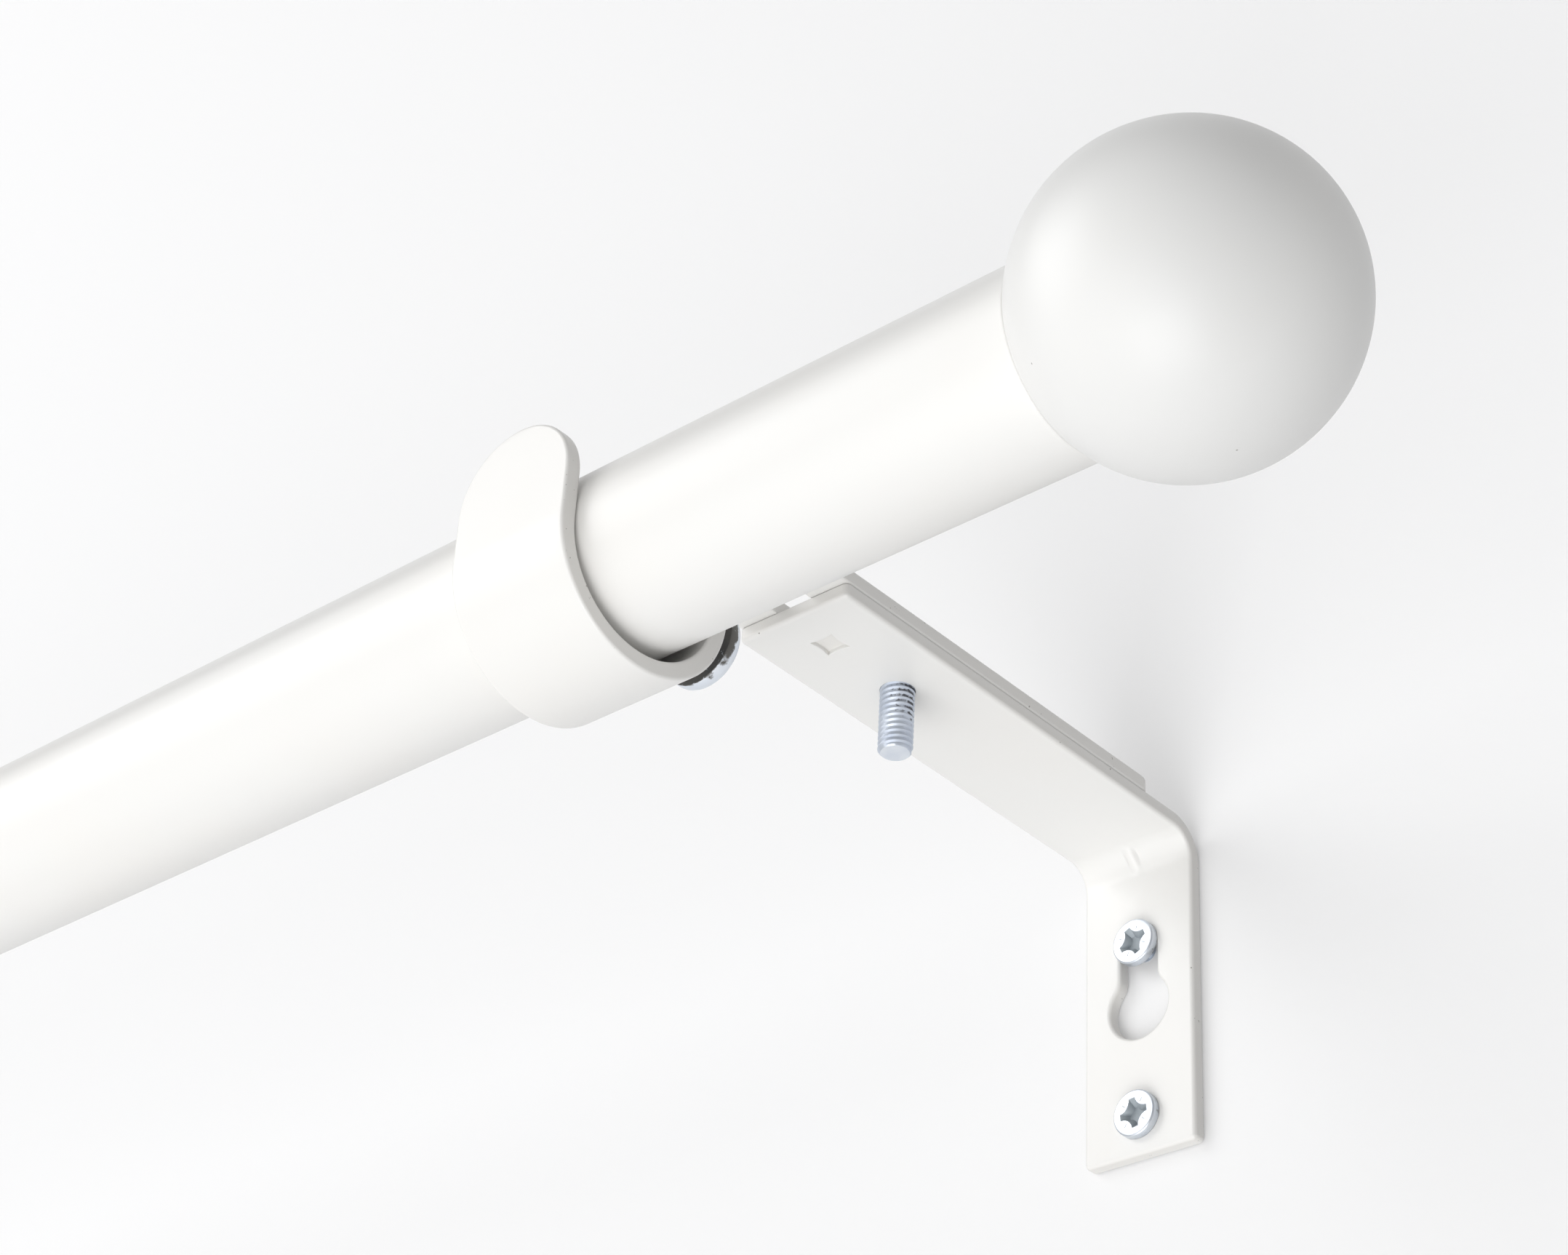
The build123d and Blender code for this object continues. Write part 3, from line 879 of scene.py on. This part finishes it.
machineSize = {"headDiameter": 9.4 * mm, "headHeight": 2.4 * mm, "faceDiameter": 5.2 * mm,
               "crown": 1.5 * mm, "seatShadeStrength": 1.0, "recessSpan": 4.4 * mm, "recessTip": 1.0 * mm,
               "recessSag": 0.5 * mm, "recessDepth": 1.3 * mm, "recessTurn": 20, "tickFrom": 1.7 * mm,
               "tickTo": 2.2 * mm, "threadDiameter": 4.0 * mm, "pitch": 0.7 * mm, "threadDepth": 0.2 * mm,
               "threadLap": 0.2 * mm, "chamfer": 0.35 * mm}
wallSize = {"headDiameter": 5.8 * mm, "headHeight": 1.1 * mm, "faceDiameter": 5.3 * mm, "crown": 0.25 * mm,
            "seatShadeStrength": 0.4, "recessSpan": 3.8 * mm, "recessTip": 0.85 * mm, "recessSag": 0.42 * mm,
            "recessDepth": 0.85 * mm, "upperTurn": 24, "lowerTurn": 7, "tickFrom": 1.5 * mm,
            "tickTo": 2.0 * mm, "threadDiameter": 3.0 * mm, "pitch": 1.35 * mm, "threadDepth": 0.5 * mm,
            "length": 30 * mm, "point": 4.5 * mm, "pointRadius": 0.05 * mm, "neckDiameter": 2.4 * mm,
            "neck": 1.8 * mm, "neckLap": 0.05 * mm, "neckSides": 40}


def machineScrew(length):
    size = machineSize
    bm = bmesh.new()
    screwHead(bm, size, size["recessTurn"])
    thread = screwThread(size, size["threadLap"], -length)
    radius = size["threadDiameter"] / 2
    taperTip(thread, -length, size["chamfer"], radius - size["chamfer"], radius)
    joinInto(bm, thread)
    return bm


def wallScrew(recessTurn):
    size = wallSize
    bm = bmesh.new()
    screwHead(bm, size, recessTurn)
    neck = bmesh.new()
    neckRadius = size["neckDiameter"] / 2
    bmesh.ops.create_cone(neck, cap_ends=True, segments=size["neckSides"], radius1=neckRadius,
                          radius2=neckRadius, depth=size["neck"] + 2 * size["neckLap"])
    bmesh.ops.translate(neck, verts=neck.verts[:], vec=(0, 0, -size["neck"] / 2))
    joinInto(bm, neck)
    thread = screwThread(size, -size["neck"], -size["length"])
    taperTip(thread, -size["length"], size["point"], size["pointRadius"], size["threadDiameter"] / 2)
    joinInto(bm, thread)
    return bm


screwSharp = 34  # degrees between faces that still shade as one


def putScrew(bm, place, axisTurn, name, body, nodes):
    bmesh.ops.transform(bm, verts=bm.verts[:], matrix=Matrix.Translation(place) @ axisTurn.to_4x4())
    finishPiece(bm, name, body, nodes, zinc, screwSharp)


headUp = Matrix.Identity(3)
headBack = Matrix.Rotation(math.radians(-90), 3, "X")  # head towards +Y
headOut = Matrix.Rotation(math.radians(90), 3, "X")  # head towards -Y
for side, x in bracketX.items():
    low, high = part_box(side + "_clamp_screw")
    seat = high.z - machineSize["headHeight"]
    spot = Vector((x, (low.y + high.y) / 2, seat))
    putScrew(machineScrew(seat - low.z), spot, headUp, side + "_clamp_screw.zinc", side + "_clamp",
             [side + "_clamp_screw"])
    low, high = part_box(side + "_lock_screw")
    seat = high.y - machineSize["headHeight"]
    spot = Vector((x, seat, (low.z + high.z) / 2))
    putScrew(machineScrew(seat - low.y), spot, headBack, side + "_lock_screw.zinc", side + "_lock",
             [side + "_lock_screw"])
    pair = bmesh.new()
    rise = bracketSize["screwSpacing"] / 2
    for height, turn in ((rise, wallSize["upperTurn"]), (-rise, wallSize["lowerTurn"])):
        screw = wallScrew(turn)
        place = Matrix.Translation((x, -bracketSize["thickness"], height)) @ headOut.to_4x4()
        bmesh.ops.transform(screw, verts=screw.verts[:], matrix=place)
        joinInto(pair, screw)
    finishPiece(pair, side + "_wall_screws.zinc", side + "_wall", [side + "_wall_screws"],
                zinc, screwSharp)
print("screws made")

# Hidden pieces keep their solids and take their finish
keptSolids = {"inner_glide": plastic, "right_finial_plug": plastic, "left_finial_plug": plastic,
              "right_finial_stud": zinc, "left_finial_stud": zinc}
for node, material in keptSolids.items():
    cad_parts[node].data.materials.clear()
    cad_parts[node].data.materials.append(material)


# Stage, light and camera

def plainSheet(name, width, length, matrix, material):
    bm = bmesh.new()
    bmesh.ops.create_grid(bm, x_segments=1, y_segments=1, size=0.5)
    bmesh.ops.scale(bm, verts=bm.verts[:], vec=(width, length, 1))
    bmesh.ops.transform(bm, verts=bm.verts[:], matrix=matrix)
    mesh = bpy.data.meshes.new(name)
    bm.to_mesh(mesh)
    bm.free()
    mesh.materials.append(material)
    sheet = bpy.data.objects.new(name, mesh)
    bpy.context.scene.collection.objects.link(sheet)
    return sheet


def paleStage(name, seeThroughBack):
    f = Finish(name)
    look = {"pale": rgb(0.932, 0.932, 0.936), "roughness": 0.9, "shine": 0.1, "grainScale": 420,
            "grainDepth": 0.3 * mm}
    normal = f.bump(f.noise(look["grainScale"], 3), look["grainDepth"], 0.12)
    f.surface(Base_Color=look["pale"], Roughness=look["roughness"], Normal=normal,
              Specular_IOR_Level=look["shine"])
    if seeThroughBack:
        solid = f.output.inputs["Surface"].links[0].from_socket
        clear = f.add("ShaderNodeBsdfTransparent").outputs[0]
        back = f.add("ShaderNodeNewGeometry").outputs["Backfacing"]
        mix = f.add("ShaderNodeMixShader", {}, {0: back, 1: solid, 2: clear})
        f.tree.links.new(mix.outputs[0], f.output.inputs["Surface"])
    return f.material


stageSize = {"span": 7.0, "height": 5.0, "middle": 1.0, "wallGap": 0.15 * mm, "floorDrop": 1.9,
             "floorBehind": 2.0}
span = stageSize["span"]
facingRoom = Matrix.Translation((0, stageSize["wallGap"], stageSize["middle"]))
facingRoom = facingRoom @ Matrix.Rotation(math.radians(90), 4, "X")
backdropFinish = paleStage("paleBackdrop", True)
backdrop = plainSheet("paleBackdrop", span, stageSize["height"], facingRoom, backdropFinish)
backdrop.visible_diffuse = False  # it throws no light back and keeps none off the plates' backs
onFloor = Matrix.Translation((0, stageSize["floorBehind"] - span / 2, -stageSize["floorDrop"]))
plainSheet("paleFloor", span, span, onFloor, paleStage("paleFloor", False))

roomLight = {"strength": 0.46, "aim": Vector((0, -0.06, 0.01)), "distance": 1.5}
world = bpy.data.worlds.new("softRoom")
bpy.context.scene.world = world
world.use_nodes = True
world.node_tree.nodes["Background"].inputs["Color"].default_value = rgb(1.0, 1.0, 1.0)
world.node_tree.nodes["Background"].inputs["Strength"].default_value = roomLight["strength"]


def softLight(name, direction, width, power):
    data = bpy.data.lights.new(name, "AREA")
    data.shape = "SQUARE"
    data.size = width
    data.energy = power
    place = roomLight["aim"] + Vector(direction).normalized() * roomLight["distance"]
    lamp = bpy.data.objects.new(name, data)
    lamp.location = place
    lamp.rotation_mode = "QUATERNION"
    lamp.rotation_quaternion = (roomLight["aim"] - place).to_track_quat("-Z", "Y")
    lamp.visible_camera = False
    bpy.context.scene.collection.objects.link(lamp)


# Each panel's way out from the aim, its width in metres and its power in watts
softLight("keyLight", (-0.62, -0.75, 0.28), 1.0, 4.7)
softLight("highLeftLight", (-0.62, -0.6, 0.5), 1.0, 3.6)
softLight("lowFrontLight", (0.0, -0.82, -0.57), 1.2, 2.9)
softLight("lowLeftLight", (-0.5, -0.7, -0.6), 2.6, 5.0)
softLight("belowLight", (0.0, -0.4, -0.92), 2.6, 6.9)
softLight("nearBelowLight", (0.1, -0.5, -0.85), 1.0, 6.8)


def photoCamera():
    view = {"lens": 76.25, "sensor": 36, "near": 0.01, "far": 50, "place": (0.20559, -0.28550, -0.17808),
            "right": (0.75155, 0.65759, 0.05248), "down": (-0.33224, 0.44604, -0.83106),
            "ahead": (-0.56990, 0.60715, 0.55370)}
    data = bpy.data.cameras.new("photoCamera")
    data.sensor_width = view["sensor"]
    data.lens = view["lens"]
    data.clip_start = view["near"]
    data.clip_end = view["far"]
    turn = Matrix((view["right"], -Vector(view["down"]), -Vector(view["ahead"]))).transposed()
    camera = bpy.data.objects.new("photoCamera", data)
    camera.matrix_world = Matrix.Translation(view["place"]) @ turn.to_4x4()
    bpy.context.scene.collection.objects.link(camera)
    bpy.context.scene.camera = camera


photoCamera()
bpy.context.scene.view_settings.view_transform = "Standard"
bpy.context.scene.view_settings.look = "None"
print("stage, light and camera set")
